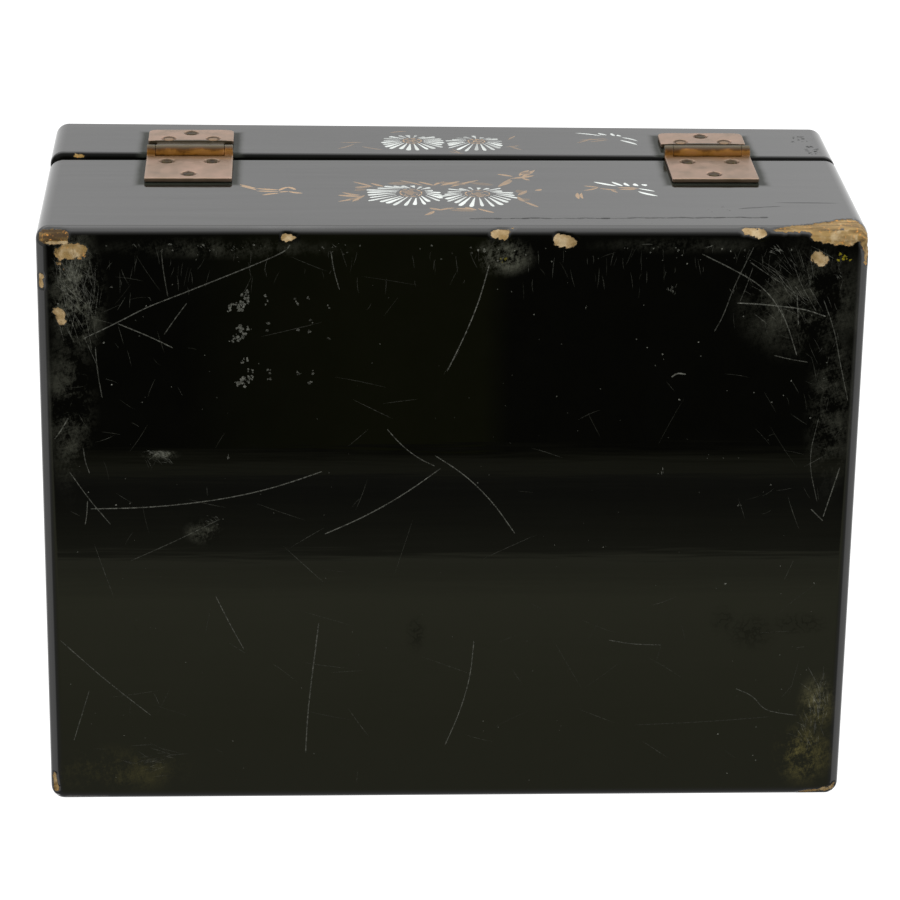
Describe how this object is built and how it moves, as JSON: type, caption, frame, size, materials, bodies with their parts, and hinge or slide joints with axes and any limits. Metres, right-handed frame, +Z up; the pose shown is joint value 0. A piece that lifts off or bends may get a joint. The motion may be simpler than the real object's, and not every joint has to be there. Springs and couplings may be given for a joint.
{
  "type": "lacquer jewelry box",
  "caption": "Rectangular black lacquer jewelry box with a hinged lid, copper hinges nailed to the back and painted chrysanthemums, worn and chipped at the edges.",
  "frame": {"origin": "centre of the flat underside", "axes": "+X along the width and the hinge line, +Y to the hinged back, +Z up to the lid"},
  "size_m": [0.29, 0.2251, 0.1301],
  "materials": {
    "lacquer": "black lacquer over wood, worn gloss",
    "copper": "tarnished copper, worn bright on its edges",
    "nails": "dark tarnished nail heads"
  },
  "bodies": {
    "base": {"box_base": "lacquer", "hinge_left_base_leaf": "copper", "hinge_left_pin": "copper", "hinge_left_base_nail_1": "nails", "hinge_left_base_nail_2": "nails", "hinge_left_base_nail_3": "nails", "hinge_right_base_leaf": "copper", "hinge_right_pin": "copper", "hinge_right_base_nail_1": "nails", "hinge_right_base_nail_2": "nails", "hinge_right_base_nail_3": "nails"},
    "lid": {"box_lid": "lacquer", "hinge_left_lid_leaf": "copper", "hinge_left_lid_nail_1": "nails", "hinge_left_lid_nail_2": "nails", "hinge_left_lid_nail_3": "nails", "hinge_right_lid_leaf": "copper", "hinge_right_lid_nail_1": "nails", "hinge_right_lid_nail_2": "nails", "hinge_right_lid_nail_3": "nails"}
  },
  "joints": [
    {"name": "lid_hinge", "type": "hinge", "parent": "base", "child": "lid", "pos_m": [0, 0.1127, 0.0853], "axis": [-1, 0, 0], "range_deg": [0, 175]}
  ]
}
